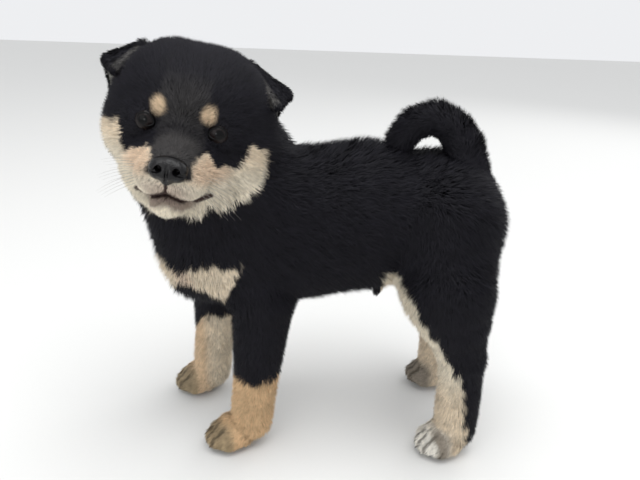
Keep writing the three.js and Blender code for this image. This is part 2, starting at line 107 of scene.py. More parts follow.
def add_mass(kind, region, blend, coat, lie, low, high, **shape):
    masses.append(dict(kind=kind, region=region, blend=blend, coat=coat * SKIN_SHARE, lie=lie,
                       low=low, high=high, **shape))


def chain(region, points, radii, blend, coat, lie=None):
    points = np.array(points, float)
    most = max(radii)
    add_mass("chain", region, blend, coat, lie, points.min(0) - most, points.max(0) + most,
             points=points, radii=radii)


def barrel(region, a, b, ra, rb, blend, coat, across, narrow, lie=None):
    points = np.array((a, b), float)
    along = unit(points[1] - points[0])
    side = np.array(across, float)
    side = unit(side - along * (side @ along))
    most = max(ra, rb)
    add_mass("barrel", region, blend, coat, lie, points.min(0) - most, points.max(0) + most,
             points=points, radii=(ra, rb), side=side, narrow=narrow)


def ball(region, centre, radii, blend, coat, lie=None, axes=None):
    centre = np.array(centre, float)
    radii = np.array(radii, float)
    axes = np.eye(3) if axes is None else axes
    most = radii.max()
    add_mass("ball", region, blend, coat, lie, centre - most, centre + most,
             centre=centre, radii=radii, axes=axes)


def sheet(region, a, b, c, half, blend, coat, lie=None):
    points = np.array((a, b, c), float)
    add_mass("sheet", region, blend, coat, lie, points.min(0) - half, points.max(0) + half,
             points=points, half=half)


def cone_distance(p, a, b, ra, rb):
    ab = b - a
    length = np.linalg.norm(ab)
    ap = p - a
    along = ap @ (ab / length)
    away = np.sqrt(np.maximum((ap * ap).sum(1) - along * along, 0))
    slope = (ra - rb) / length
    t = np.clip((along + away * slope / math.sqrt(1 - slope * slope)) / length, 0, 1)
    return lengths(ap - t[:, None] * ab) - (ra + (rb - ra) * t)


def sheet_distance(p, points, half):
    a, b, c = points
    edges = (b - a, c - b, a - c)
    normal = unit(np.cross(edges[0], c - a))
    inside = np.ones(len(p), bool)
    nearest = np.full(len(p), 1e9)
    for corner, edge in zip(points, edges):
        away = p - corner
        inside &= away @ np.cross(normal, edge) >= 0
        t = np.clip(away @ edge / (edge @ edge), 0, 1)
        nearest = np.minimum(nearest, lengths(away - t[:, None] * edge))
    return np.where(inside, np.abs((p - a) @ normal), nearest) - half


def distance(mass, p):
    if mass["kind"] == "chain":
        points, radii = mass["points"], mass["radii"]
        pairs = range(len(radii) - 1)
        each = [cone_distance(p, points[i], points[i + 1], radii[i], radii[i + 1]) for i in pairs]
        return np.min(each, axis=0)
    if mass["kind"] == "barrel":
        a, b = mass["points"]
        off = (p - a) @ mass["side"]
        widened = p + np.outer(off * (1 / mass["narrow"] - 1), mass["side"])
        return cone_distance(widened, a, b, *mass["radii"]) * math.sqrt(mass["narrow"])
    if mass["kind"] == "ball":
        q = (p - mass["centre"]) @ mass["axes"].T
        near = lengths(q / mass["radii"])
        steep = lengths(q / mass["radii"] ** 2)
        return near * (near - 1) / np.maximum(steep, 1e-9)
    return sheet_distance(p, mass["points"], mass["half"])


def blended(a, b, blend):
    h = np.clip(0.5 + 0.5 * (a - b) / blend, 0, 1)
    return a * (1 - h) + b * h - blend * h * (1 - h)


# Ways the coat lies: a fixed direction, away from a point, or along a chain
DOWN = unit((0, 0.15, -1))
FROM_NOSE = "nose"
ALONG = "along"

# Trunk
FORE_SIDE = (0.9, 0.43, 0)
barrel("chest", (3, -36, 154), (-3, 24, 159), 51, 45, 10, 10, (1, 0.1, 0), 0.84, unit((0, 1, -0.45)))
barrel("barrel", (-3, 24, 161.5), (-4, 74, 159.5), 42, 40, 16, 10, (1, 0, 0), 0.92, unit((0, 1, -0.35)))
ball("rump", (-4, 76.5, 156), (43, 33.5, 46), 14, 9, unit((0, 0.8, -0.75)))
chain("barrel", [(1, -18, 145.5), (-3, 60, 147.5)], [44, 30], 14, 10, unit((0, 1, -0.35)))
barrel("chest", (6, -42, 148), (15, -72, 140), 45, 32, 14, 11, FORE_SIDE, 0.94, unit((-0.1, 0.35, -1)))
ball("chest", (17, -80.5, 124), (21, 18.5, 18), 14, 10, unit((-0.1, 0.2, -1)))
# Neck, throat and nape
chain("neck", [(6, -52, 166), (18, -80, 204)], [42, 42], 14, 11, unit((-0.2, 0.5, -0.9)))
chain("neck", [(20, -76, 150), (31.5, -89.5, 190.5)], [31, 28], 14, 10, unit((-0.2, 0.1, -1)))
ball("neck", (0, -53, 201.5), (28, 25.5, 27), 14, 10, unit((-0.4, 0.8, -0.6)))

# Forelegs from shoulder to foot
foreleg_radii = [25, 20, 16.5, 14.2, 14]
chain("foreleg", [(26, -60, 142), (35, -38.5, 108), (37, -40.5, 78), (35, -43, 50), (32, -46, 18)],
      foreleg_radii, 16, 5.5, ALONG)
chain("foreleg", [(-14, -72, 140), (-27, -77, 107), (-30, -78.5, 78), (-32, -81, 50), (-32, -84, 18)],
      foreleg_radii, 16, 5.5, ALONG)

# Hind legs: thigh, then shank and foot
thigh_radii = [34.5, 27]
shank_radii = [26, 21, 16, 14, 14.3]
chain("thigh", [(15, 77, 150), (34, 78.5, 122)], thigh_radii, 20, 9, DOWN)
chain("thigh", [(35, 80.5, 122), (37, 86, 100), (37, 92.5, 75), (35.5, 94, 58), (33.5, 94, 18)],
      shank_radii, 16, 5.5, ALONG)
chain("thigh", [(-24, 77, 150), (-38, 78.5, 122)], thigh_radii, 20, 9, DOWN)
chain("thigh", [(-39, 80.5, 122), (-45, 86, 100), (-50, 92.5, 75), (-52, 94.5, 58), (-52, 94.5, 18)],
      shank_radii, 16, 5.5, ALONG)
chain("barrel", [(-2, 40, 112), (-2, 38, 104), (-2, 36, 98)], [5.5, 3.6, 1.8], 6, 1.8, DOWN)

# Paws: a pad with four toes. Each toe has its place across and ahead, as shares of the paw
PAD_LEVEL = 11
TOE_LEVEL = 7.4
KNUCKLE_RISE = 2.1
TOE_RADII = (7.6, 6.8)
TOE_ROWS = ((-0.34, 0.18), (-0.12, 0.31), (0.12, 0.31), (0.34, 0.18))
# The middle of each paw, the way it points, its length and its width
PAWS = {
    "fore_left": ((34.5, -57.5, 0), unit((0.5, -0.866, 0)), 40, 25),
    "fore_right": ((-33, -93, 0), unit((0.43, -0.9, 0)), 38, 26),
    "hind_left": ((34.5, 86.5, 0), unit((0.4, -0.917, 0)), 38, 25),
    "hind_right": ((-53, 91, 0), unit((0.1, -0.995, 0)), 38, 26),
}


def left_of(ahead):
    return np.array((-ahead[1], ahead[0], 0.0))


def toe_tip(paw, row):
    centre, ahead, length, width = PAWS[paw]
    aside, reach = row
    level = np.array((0, 0, TOE_LEVEL))
    return np.array(centre) + ahead * length * reach + left_of(ahead) * width * aside + level


for paw, (centre, ahead, length, width) in PAWS.items():
    axes = np.array((ahead, left_of(ahead), (0, 0, 1)))
    lie = unit(ahead + np.array((0, 0, -0.5)))
    middle = np.array(centre) - ahead * 2 + np.array((0, 0, PAD_LEVEL))
    ball("paw", middle, (length * 0.42, width * 0.45, 12.5), 6, 3.2, lie, axes)
    for row in TOE_ROWS:
        tip = toe_tip(paw, row)
        inward = left_of(ahead) * width * row[0] * 0.2
        knuckle = tip - ahead * length * 0.22 - inward + np.array((0, 0, KNUCKLE_RISE))
        chain("paw", [knuckle, tip], TOE_RADII, 3, 2.6, lie)

# Tail, curled over the back
TAIL_LINE = np.array(((-2, 88.5, 176), (-2, 88.5, 192), (-2, 86.5, 206), (-2, 80, 216.5), (-2, 68.5, 223.5),
                      (-3, 55, 219), (-4, 47.5, 208)), float)
TAIL_RADII = [16, 15.6, 13.9, 12.4, 11.6, 11.3, 10.4]
TAIL_LOOP = np.array((-2, 70, 205.0))
chain("tail", TAIL_LINE, TAIL_RADII, 4, 8.5, ALONG)

# Skull, cheeks and jowls
for s in (1, -1):
    ball("head", on_head(-31, 13 * s + 2, 9), (39, 36, 38), 10, 6.5, FROM_NOSE, HEAD)
ball("head", on_head(-16, 0, 13), (22, 31, 25), 10, 4, FROM_NOSE, HEAD)
for s in (1, -1):
    ball("head", on_head(-25, 26.5 * s + 1.5, -7.5), (27, 22, 23), 9, 8, FROM_NOSE, HEAD)
    ball("head", on_head(-10, 16.5 * s, -26), (21, 16, 16), 9, 6, FROM_NOSE, HEAD)
    # Thin skin around each eye
    ball("head", on_head(-4, EYE_SIDE * s, 0.3), (10.6, 12, 10.5), 5, 1.2, FROM_NOSE, HEAD)
# Muzzle, lips and lower jaw
chain("head", [on_head(-4, 0, -17), on_head(25, 0, -22.5)], [19.5, 12.8], 8, 2.4, FROM_NOSE)
for s in (1, -1):
    ball("head", on_head(-2, 13 * s, -24), (17, 12, 12.5), 7, 3, FROM_NOSE, HEAD)
    ball("head", on_head(18, 8.5 * s, -26), (15, 11, 11), 6, 2.4, FROM_NOSE, HEAD)
chain("head", [on_head(-8, 0, -36), on_head(16, 0, -38.5)], [14, 10.5], 6, 3, FROM_NOSE)
ball("head", on_head(-18, 0, -31), (28, 26, 19), 9, 7, FROM_NOSE, HEAD)

# Ears: a raised base whose top folds forwards
EARS = {
    1: ((-34, 30, 34), (-36, 46, 12), (-28, 29, 40), (-27, 53, 28.5), (-14, 49, 21.5)),
    -1: ((-34, -32, 34), (-36, -45, 10), (-28, -32, 39), (-27, -50, 27.5), (-14, -43.5, 23)),
}
for places in EARS.values():
    base_inner, base_outer, fold_inner, fold_outer, tip = (on_head(*place) for place in places)
    rising = unit(fold_outer - base_inner)
    sheet("ear", base_inner, base_outer, fold_outer, 3.6, 5, 1.8, rising)
    sheet("ear", base_inner, fold_inner, fold_outer, 3.6, 3, 1.8, rising)
    sheet("ear", fold_inner, fold_outer, tip, 2.8, 2.5, 1.4, unit(tip - (fold_inner + fold_outer) / 2))

# Cuts into the skin: eye openings, and the line of the mouth as seen from ahead of the nose
MOUTH_LINE = np.array(((-19.5, -38.5), (-14, -39.5), (-7, -37.5), (0, -33.8),
                       (7, -37), (14, -39.5), (22, -34.5)))
MOUTH_CORNER = 2.0
MOUTH_HALF_WIDTH = 0.65
MOUTH_DEPTH = 1.8
EYE_LEVEL = 0.2
EYE_OPENING = np.array((9.0, 5.4, 3.9))


def from_mouth(q):
    """Distance to the line of the mouth across and up the face."""
    flat = q[:, 1:]
    nearest = np.full(len(q), 1e9)
    for start, end in zip(MOUTH_LINE[:-1], MOUTH_LINE[1:]):
        along = end - start
        t = np.clip((flat - start) @ along / (along @ along), 0, 1)
        nearest = np.minimum(nearest, lengths(flat - start - t[:, None] * along))
    return np.hypot(nearest, np.maximum(MOUTH_CORNER - q[:, 0], 0) * 1.5)


def skin_cuts(p, level):
    """Signed distance to what is cut from the skin at this level, negative inside the cuts."""
    q = head_places(p)
    cuts = np.maximum(from_mouth(q) - MOUTH_HALF_WIDTH, -(level + MOUTH_DEPTH))
    for s in (1, -1):
        eye = (q - np.array((9.5, EYE_SIDE * s, EYE_LEVEL))) / EYE_OPENING
        near = lengths(eye)
        cuts = np.minimum(cuts, (near - 1) * EYE_OPENING[2])
    return cuts


# A grid starts this far outside everything, and a mass fills it this far past its own blend
OUTSIDE = 40.0
GRID_REACH = 12


def grid_field(low, high, step):
    count = np.ceil((high - low) / step).astype(int) + 1
    field = np.full(count, OUTSIDE, np.float32)
    axes = [low[i] + step * np.arange(count[i]) for i in range(3)]

    def part(lowest, highest):
        first = np.clip(np.floor((lowest - low) / step).astype(int), 0, count)
        last = np.clip(np.ceil((highest - low) / step).astype(int) + 1, 0, count)
        where = tuple(slice(a, b) for a, b in zip(first, last))
        places = np.meshgrid(*[axes[i][where[i]] for i in range(3)], indexing="ij")
        return where, np.stack([x.ravel() for x in places], 1)

    for mass in masses:
        reach = mass["blend"] + GRID_REACH
        where, places = part(mass["low"] - reach, mass["high"] + reach)
        here = distance(mass, places).reshape(field[where].shape) + mass["coat"]
        field[where] = blended(field[where], here, mass["blend"])
    face = np.array([on_head(f, l, u) for f in (-5, 40) for l in (-32, 32) for u in (-45, 12)])
    where, places = part(face.min(0), face.max(0))
    cuts = skin_cuts(places, field[where].ravel()).reshape(field[where].shape)
    field[where] = -blended(-field[where], cuts, 1.0)
    sole = SOLE_LEVEL - axes[2]
    return np.maximum(field, sole[None, None, :].astype(np.float32)), axes


def surface_net(field, axes):
    """Vertices and four-sided faces on the zero level of a grid."""
    inside = field < 0
    count = np.array(field.shape)
    corners = [(x, y, z) for x in (0, 1) for y in (0, 1) for z in (0, 1)]
    filled = np.zeros(count - 1, np.int8)
    for x, y, z in corners:
        filled += inside[x:count[0] - 1 + x, y:count[1] - 1 + y, z:count[2] - 1 + z]
    cells = np.argwhere((filled > 0) & (filled < 8))
    number = -np.ones(count - 1, np.int64)
    number[tuple(cells.T)] = np.arange(len(cells))
    total = np.zeros((len(cells), 3))
    crossings = np.zeros(len(cells))
    for i, a in enumerate(corners):
        for b in corners[i + 1:]:
            if sum(x != y for x, y in zip(a, b)) != 1:
                continue
            va = field[cells[:, 0] + a[0], cells[:, 1] + a[1], cells[:, 2] + a[2]]
            vb = field[cells[:, 0] + b[0], cells[:, 1] + b[1], cells[:, 2] + b[2]]
            crosses = (va < 0) != (vb < 0)
            t = np.where(crosses, va / np.where(va == vb, 1, va - vb), 0)
            place = np.array(a) + np.outer(t, np.array(b) - np.array(a))
            total += np.where(crosses[:, None], place, 0)
            crossings += crosses
    step = axes[0][1] - axes[0][0]
    start = np.array([axis[0] for axis in axes])
    vertices = start + step * (cells + total / crossings[:, None])
    faces = []
    for axis in range(3):
        b, c = (axis + 1) % 3, (axis + 2) % 3
        near = [slice(None)] * 3
        far = [slice(None)] * 3
        near[axis] = slice(0, count[axis] - 1)
        far[axis] = slice(1, count[axis])
        edges = np.argwhere(inside[tuple(near)] != inside[tuple(far)])
        within = (edges[:, b] > 0) & (edges[:, c] > 0)
        within &= (edges[:, b] < count[b] - 1) & (edges[:, c] < count[c] - 1)
        edges = edges[within]
        leaving = inside[tuple(near)][tuple(edges.T)]
        ring = []
        for ob, oc in ((-1, -1), (0, -1), (0, 0), (-1, 0)):
            cell = edges.copy()
            cell[:, b] += ob
            cell[:, c] += oc
            ring.append(number[tuple(cell.T)])
        ring = np.stack(ring, 1)
        ring[~leaving] = ring[~leaving][:, ::-1]
        faces.append(ring)
    return vertices, np.concatenate(faces)


def vertex_normals(vertices, faces):
    diagonal = vertices[faces[:, 2]] - vertices[faces[:, 0]]
    other_diagonal = vertices[faces[:, 3]] - vertices[faces[:, 1]]
    across = np.cross(diagonal, other_diagonal)
    normals = np.zeros_like(vertices)
    for i in range(4):
        np.add.at(normals, faces[:, i], across)
    return rows_unit(normals)


def smoothed(vertices, faces, passes, share):
    """Moves each vertex towards the mean of its neighbours, then a little back."""
    for amount in (share, -share * 1.04) * passes:
        total = np.zeros_like(vertices)
        met = np.zeros(len(vertices))
        for i in range(4):
            a = faces[:, i]
            b = faces[:, (i + 1) % 4]
            np.add.at(total, a, vertices[b])
            np.add.at(met, a, 1)
        vertices = vertices + amount * (total / met[:, None] - vertices)
    return vertices


# Smooth random values in space, for patches, locks and streaks
class Ripple:
    def __init__(self, wavelength, waves=7):
        turns = random.normal(size=(waves, 3))
        self.waves = rows_unit(turns) * (2 * math.pi / wavelength) * random.uniform(0.7, 1.4, (waves, 1))
        self.starts = random.uniform(0, 2 * math.pi, waves)

    def at(self, points):
        return np.sin(points @ self.waves.T + self.starts).sum(1) / math.sqrt(len(self.starts) / 2)


def smooth_step(low, high, x):
    t = np.clip((x - low) / (high - low), 0, 1)
    return t * t * (3 - 2 * t)


# Colours, as linear light
def linear(red, green, blue):
    c = np.array((red, green, blue)) / 255
    return np.where(c <= 0.04045, c / 12.92, ((c + 0.055) / 1.055) ** 2.4)


BLACK = linear(21, 20, 27)
BLACK_BROWN = linear(64, 62, 61)
TAN = linear(206, 168, 122)
CREAM = linear(230, 220, 200)
WHITE = linear(240, 236, 226)
RUFOUS = linear(208, 160, 120)
GREY_BROWN = linear(118, 104, 86)
LIP = linear(104, 78, 72)
PINK = linear(214, 180, 164)
PAD = linear(62, 52, 50)
UNDER_NOSE = linear(158, 138, 128)
TOE_GREY = linear(142, 130, 104)
EAR_HAIR = linear(176, 174, 166)
EAR_RIM = linear(146, 143, 138)
IRIS = linear(27, 22, 22)
PUPIL = linear(3, 3, 4)
EYE_EDGE = linear(18, 16, 17)

edge_ripple = Ripple(9)
fine_ripple = Ripple(3.5)


def mix(colours, other, amount):
    return colours * (1 - amount[:, None]) + other * amount[:, None]


def oval(a, b, centre, radii, soft):
    """1 inside an oval in two measures, falling to 0 across a soft edge."""
    away = np.sqrt(((a - centre[0]) / radii[0]) ** 2 + ((b - centre[1]) / radii[1]) ** 2)
    return 1 - smooth_step(1 - soft, 1 + soft, away)


# The tan of each foreleg: middle of the shin, its inner side, the tan's height and rise, how light it is
FORELEG_TAN = (((34, -44.5), (-0.9, -0.3), 55.5, 8, 0.15),
               ((-32, -81), (0.75, 0.66), 58, 13, 0.35))
# Where cream meets black on the hind legs: how far back it is at each height
HIND_HEIGHTS = (20, 53, 66, 84, 115, 128)
HIND_EDGE = (96.5, 92, 86, 75, 56, 43)


def inside_ear(q):
    """1 in the hollow under each folded ear, falling to 0 around it."""
    amount = np.zeros(len(q))
    for base_inner, base_outer, fold_inner, fold_outer, tip in EARS.values():
        middle = np.array(base_inner) * 0.1 + np.array(base_outer) * 0.72 + np.array(fold_outer) * 0.18
        away = lengths((q - middle - np.array((4, 0, 0))) / np.array((7, 7, 9.5)))
        amount = np.maximum(amount, smooth_step(1.15, 0.75, away))
    return amount


def face_markings(colour, q, ragged, on_face):
    """Cream cheeks, muzzle sides and chin, from below the eyes down to the jaw, round a dark bridge."""
    f, l, u = q.T
    side = np.abs(l)
    lobe = side - 3.2 * (l > 0) * smooth_step(24, 32, side)
    upper_edge = np.interp(lobe, (8, 18, 26, 33, 37), (-9, -14, -18, -17, -4))
    lower_edge = np.interp(side, (0, 12, 36, 48, 52), (-54, -53, -41, -31, -18))
    cheek = smooth_step(1.2, -1.2, u - upper_edge + ragged)
    cheek *= smooth_step(-1.2, 1.2, u - lower_edge + ragged)
    reach = np.where(l > 0, -9.5, -20.0)
    front = smooth_step(-2, 2, f - reach - 0.35 * np.minimum(u + 30, 0) + ragged)
    bridge = smooth_step(1.2, -1.2, side - np.interp(f, (8, 26), (14.0, 11.8)) + ragged * 0.5)
    bridge *= smooth_step(-26, -23, u)
    pale = cheek * front * (side < 53) * (1 - bridge) * on_face
    colour = mix(colour, CREAM, pale)
    warm = oval(side, u, (20, -20), (11, 7), 0.6) * smooth_step(-4, 2, f)
    colour = mix(colour, RUFOUS, 0.45 * warm * pale)
    colour = mix(colour, TAN, 0.3 * smooth_step(-24, -8, u) * pale)
    grey_bridge = bridge * smooth_step(2, 14, f) * on_face * smooth_step(-25, -18, u)
    return mix(colour, BLACK_BROWN, 0.8 * grey_bridge)


def lip_markings(colour, q, on_face):
    """Greyish pink under the nose, a dark line of the mouth and a groove up to the nose."""
    f, l, u = q.T
    side = np.abs(l)
    under_nose = oval(l, u, (0, -33), (13, 6), 0.6) * smooth_step(16, 24, f)
    colour = mix(colour, UNDER_NOSE, 0.6 * under_nose * on_face)
    lower_lip = smooth_step(6, 2, from_mouth(q + np.array((0, 0, 3)))) * smooth_step(20, 10, side)
    colour = mix(colour, LIP, 0.7 * lower_lip * on_face)
    colour = mix(colour, LIP * 0.3, smooth_step(2.3, 1.0, from_mouth(q)) * on_face)
    groove = smooth_step(1.3, 0.5, side) * smooth_step(-39, -37, u) * smooth_step(-25, -27, u) * (f > 24)
    return mix(colour, LIP * 0.3, groove * on_face)


def brow_spots(colour, q, on_face):
    f, l, u = q.T
    spots = oval(np.abs(l), u, (14.2, 9.8), (4.0, 5.3), 0.4) * smooth_step(-6, -2, f) * on_face
    return mix(colour, CREAM * 0.35 + TAN * 0.5, spots)


def chest_bow(colour, p, ragged):
    """Two pale triangles that meet on the chest."""
    x, y, z = p.T
    turn = np.degrees(np.arctan2(y + 60, x - 8))
    off = np.abs(turn + 37)
    lower = np.interp(off, (0, 18, 34, 50), (122, 119, 109, 138))
    upper = np.interp(off, (0, 6, 14, 50), (127, 132, 136, 138))
    bow = smooth_step(-1.2, 1.2, z - lower + ragged) * smooth_step(1.2, -1.2, z - upper + ragged)
    bow *= (y < -30) & (z < 150) & (off < 52)
    colour = mix(colour, CREAM * 0.8 + TAN * 0.2, bow)
    return mix(colour, PINK, bow * 0.35 * smooth_step(14, 2, off))


def foreleg_markings(colour, p, ragged):
    """Tan from the wrist down, higher on the inner and front faces."""
    x, y, z = p.T
    for (shin_x, shin_y), inward, top, rise, light in FORELEG_TAN:
        away = np.stack((x - shin_x, y - shin_y), 1)
        near = (lengths(away) < 34) & (y < 0)
        inner = rows_unit(away) @ unit(inward)
        edge = top + rise * smooth_step(-0.3, 0.8, inner)
        tan = smooth_step(2.2, -2.2, z - edge + ragged * 1.3) * near
        paler = smooth_step(0.2, 0.9, inner) * 0.5
        colour = mix(colour, mix(np.tile(TAN, (len(p), 1)), CREAM, light + paler), tan)
    return colour


def hind_leg_markings(colour, p, ragged):
    """Cream down the front and inside, black behind, and a pinker groin."""
    x, y, z = p.T
    line = np.interp(z, HIND_HEIGHTS, HIND_EDGE)
    outward = np.abs(x + 4) - 61
    cream = smooth_step(1.5, -1.5, y + 0.3 * outward - line + ragged) * (y > 40) * (z < 130)
    colour = mix(colour, CREAM, cream)
    colour = mix(colour, TAN, cream * 0.3 * smooth_step(70, 40, z))
    groin = smooth_step(4, -4, z - 122 + ragged) * smooth_step(40, 50, y) * smooth_step(24, 16, np.abs(x + 4))
    return mix(colour, CREAM * 0.55 + PINK * 0.45, groin * smooth_step(100, 88, y))


def foot_markings(colour, p):
    """Toes in their own colour on three feet, dimmed to grey-brown by painted shade on the far hind paw,
    painted shade in the dark gaps between toes, and dark pads under them.
    """
    z = p[:, 2]
    for paw, (centre, ahead, length, width) in PAWS.items():
        away = p - np.array(centre)
        forward = away @ ahead
        aside = away @ left_of(ahead)
        here = (np.abs(forward) < length * 0.75) & (np.abs(aside) < width * 0.8) & (z < 26)
        toes = smooth_step(0, 8, forward) * here * smooth_step(24, 16, z)
        # Painted shade: the toes of the far hind paw, away from the light, are dimmed to grey-brown
        if paw == "hind_right":
            colour = mix(colour, GREY_BROWN * 0.8 + WHITE * 0.2, toes)
        elif paw == "hind_left":
            colour = mix(colour, WHITE, toes)
            outer_toe = smooth_step(1, 3, aside) * smooth_step(14, 11, forward)
            colour = mix(colour, GREY_BROWN, toes * outer_toe * 0.8)
        else:
            colour = mix(colour, TOE_GREY, toes * 0.75 * smooth_step(4, 11, forward))
        # Painted shade: dark lines in the gaps between the toes
        for gap in (-0.24, 0.0, 0.24):
            groove = smooth_step(1.6, 0.4, np.abs(aside - gap * width)) * toes * smooth_step(7, 13, forward)
            colour = mix(colour, GREY_BROWN * 0.35, groove * 0.75)
    return mix(colour, PAD, smooth_step(1.6, 0.8, z) * (z < 2))


def ear_rims(colour, q):
    """A paler folded edge along each ear."""
    for base_inner, base_outer, fold_inner, fold_outer, tip in EARS.values():
        rim = cone_distance(q, np.array(fold_inner, float), np.array(tip, float), 1.0, 0.99)
        colour = mix(colour, EAR_RIM, 0.75 * smooth_step(3.0, 1.0, rim))
    return colour


def markings(p):
    """Coat colour at each place: black and tan with cream cheeks, chest and feet, and painted shade on the
    feet.
    """
    q = head_places(p)
    ragged = edge_ripple.at(p) * 1.1 + fine_ripple.at(p) * 0.5
    on_face = (p[:, 1] < -20) & (p[:, 2] > 150) & (q[:, 0] > -34) & (q[:, 2] > -60)
    colour = np.tile(BLACK, (len(p), 1))
    colour = face_markings(colour, q, ragged, on_face)
    colour = lip_markings(colour, q, on_face)
    colour = brow_spots(colour, q, on_face)
    colour = chest_bow(colour, p, ragged)
    colour = foreleg_markings(colour, p, ragged)
    colour = hind_leg_markings(colour, p, ragged)
    colour = foot_markings(colour, p)
    return ear_rims(colour, q)


# The skin: one net over all the masses, each drawn in by its coat's depth
low = np.min([mass["low"] for mass in masses], axis=0) - 3 * SKIN_STEP
high = np.max([mass["high"] for mass in masses], axis=0) + 3 * SKIN_STEP
low[2] = -2 * SKIN_STEP
field, axes = grid_field(low, high, SKIN_STEP)
skin_places, skin_faces = surface_net(field, axes)
skin_places = smoothed(skin_places, skin_faces, 2, 0.5)
skin_places[:, 2] = np.maximum(skin_places[:, 2], 0.05)
skin_normals = vertex_normals(skin_places, skin_faces)

# Each region of the coat: how fine it is, how steeply its tufts stand at the root and at the tip
# in degrees, how wide they are and how long they may be at most
COAT_OF_REGION = {
    "head": (2.9, 56, 34, 0.38, 40),
    "ear": (2.8, 26, 12, 0.4, 5),
    "neck": (1.35, 64, 42, 0.6, 40),
    "chest": (1.3, 64, 42, 0.62, 40),
    "barrel": (1.2, 62, 40, 0.62, 40),
    "rump": (1.25, 64, 42, 0.62, 40),
    "tail": (4.2, 68, 50, 0.66, 40),
    "foreleg": (1.7, 56, 34, 0.46, 40),
    "thigh": (1.5, 58, 36, 0.52, 40),
    "paw": (2.4, 40, 16, 0.4, 8.5),
}
REGIONS = list(COAT_OF_REGION)
FINENESS, ROOT_LIFT, TIP_LIFT, WIDTH, LONGEST = np.array(list(COAT_OF_REGION.values())).T
SHORT_HAIRED = [REGIONS.index(name) for name in ("head", "ear", "paw")]
# How far the lie and the depth of one mass reach into the next
LIE_BLEND = 4.0


def lie_of(mass, p):
    """Which way the hair of a mass lies at each place."""
    lie = mass["lie"]
    if isinstance(lie, np.ndarray):
        return np.tile(lie, (len(p), 1))
    if lie == FROM_NOSE:
        away = p - on_head(34, 0, -14)
        return rows_unit(away + HEAD[2] * -0.25 * lengths(away)[:, None])
    points, radii = mass["points"], mass["radii"]
    pairs = range(len(radii) - 1)
    each = np.array([cone_distance(p, points[i], points[i + 1], radii[i], radii[i + 1]) for i in pairs])
    nearest = each.argmin(0)
    runs = rows_unit(np.diff(points, axis=0))
    ahead = runs[nearest]
    start = points[nearest]
    length = lengths(points[nearest + 1] - start)
    share = np.clip(((p - start) * ahead).sum(1) / length, 0, 1)
    before = runs[np.maximum(nearest - 1, 0)]
    after = runs[np.minimum(nearest + 1, len(runs) - 1)]
    first = np.clip(0.5 - share, 0, 1)[:, None]
    last = np.clip(share - 0.5, 0, 1)[:, None]
    return rows_unit(before * first + after * last + ahead * (1 - first - last))


def coat_values(p, normals):
    """The coat's depth, its lie along the skin and the region at each place."""
    distances = np.array([distance(mass, p) + mass["coat"] for mass in masses])
    nearest = distances.min(0)
    weights = np.exp(-(distances - nearest) / LIE_BLEND)
    depth = (weights * np.array([mass["coat"] for mass in masses])[:, None]).sum(0) / weights.sum(0)
    lie = np.zeros_like(p)
    for mass, weight in zip(masses, weights):
        near = weight > 0.02
        lie[near] += weight[near, None] * lie_of(mass, p[near])
    lie -= normals * (lie * normals).sum(1)[:, None]
    region = np.array([REGIONS.index(mass["region"]) for mass in masses])[distances.argmin(0)]
    return depth, rows_unit(lie), region


depth, lie, region = coat_values(skin_places, skin_normals)


def new_mesh(name, places, faces, normals=None, colours=None):
    """A mesh object in metres from places in millimetres; faces is a list of arrays by corner count."""
    mesh = bpy.data.meshes.new(name)
    corners = np.concatenate([f.ravel() for f in faces]).astype(np.int32)
    sizes_of = np.concatenate([np.full(len(f), f.shape[1]) for f in faces])
    starts = np.concatenate([[0], np.cumsum(sizes_of)[:-1]]).astype(np.int32)
    mesh.vertices.add(len(places))
    mesh.vertices.foreach_set("co", ((places - ORIGIN) * MM).astype(np.float32).ravel())
    mesh.loops.add(len(corners))
    mesh.loops.foreach_set("vertex_index", corners)
    mesh.polygons.add(len(starts))
    mesh.polygons.foreach_set("loop_start", starts)
    mesh.update(calc_edges=True)
    mesh.polygons.foreach_set("use_smooth", np.ones(len(starts), bool))
    if colours is not None:
        paint = mesh.color_attributes.new("coat", "FLOAT_COLOR", "POINT")
        rgba = np.concatenate([colours, np.ones((len(colours), 1))], 1)
        paint.data.foreach_set("color", rgba.astype(np.float32).ravel())
    if normals is not None:
        mesh.normals_split_custom_set_from_vertices(normals.astype(np.float32))
    thing = bpy.data.objects.new(name, mesh)
    bpy.context.scene.collection.objects.link(thing)
    return thing


# Materials
def add_node(nodes, kind, settings):
    node = nodes.new(kind)
    for name, value in settings.items():
        node.inputs[name].default_value = value
    return node


